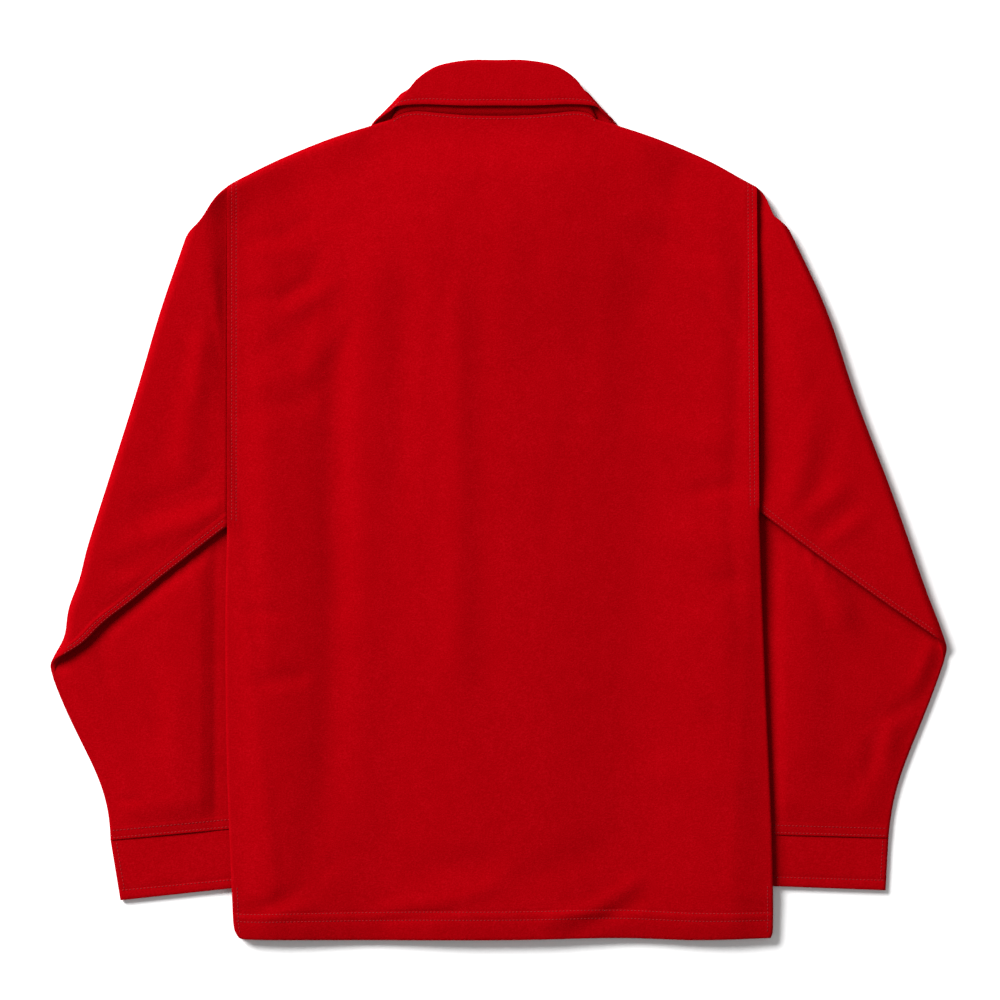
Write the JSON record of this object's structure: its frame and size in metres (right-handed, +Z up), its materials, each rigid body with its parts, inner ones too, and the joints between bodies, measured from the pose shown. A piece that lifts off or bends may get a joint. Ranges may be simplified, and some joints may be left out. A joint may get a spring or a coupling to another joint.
{
  "type": "mackinaw jacket",
  "caption": "Plain wool mackinaw jacket laid on its front, back up, with a turned-down collar, cuffed sleeves folded under its sides, felled seams and a straight hem.",
  "frame": {"origin": "middle of the jacket's box at its underside, where the fronts and forearms rest", "axes": "+Z up out of the surface through the back, +Y from the hem to the collar, +X to the right seen from above"},
  "size_m": [0.8505, 0.8354, 0.0181],
  "materials": {
    "wool": "milled and brushed twill, matt",
    "button": "satin"
  },
  "bodies": {
    "root": {"back": "wool", "front_left": "wool", "front_right": "wool", "sleeve_left": "wool", "sleeve_right": "wool", "cuff_left": "wool", "cuff_right": "wool", "collar_fall": "wool", "collar_stand": "wool", "button_1": "button", "button_2": "button", "button_3": "button", "button_4": "button", "button_5": "button", "button_6": "button"}
  },
  "joints": []
}
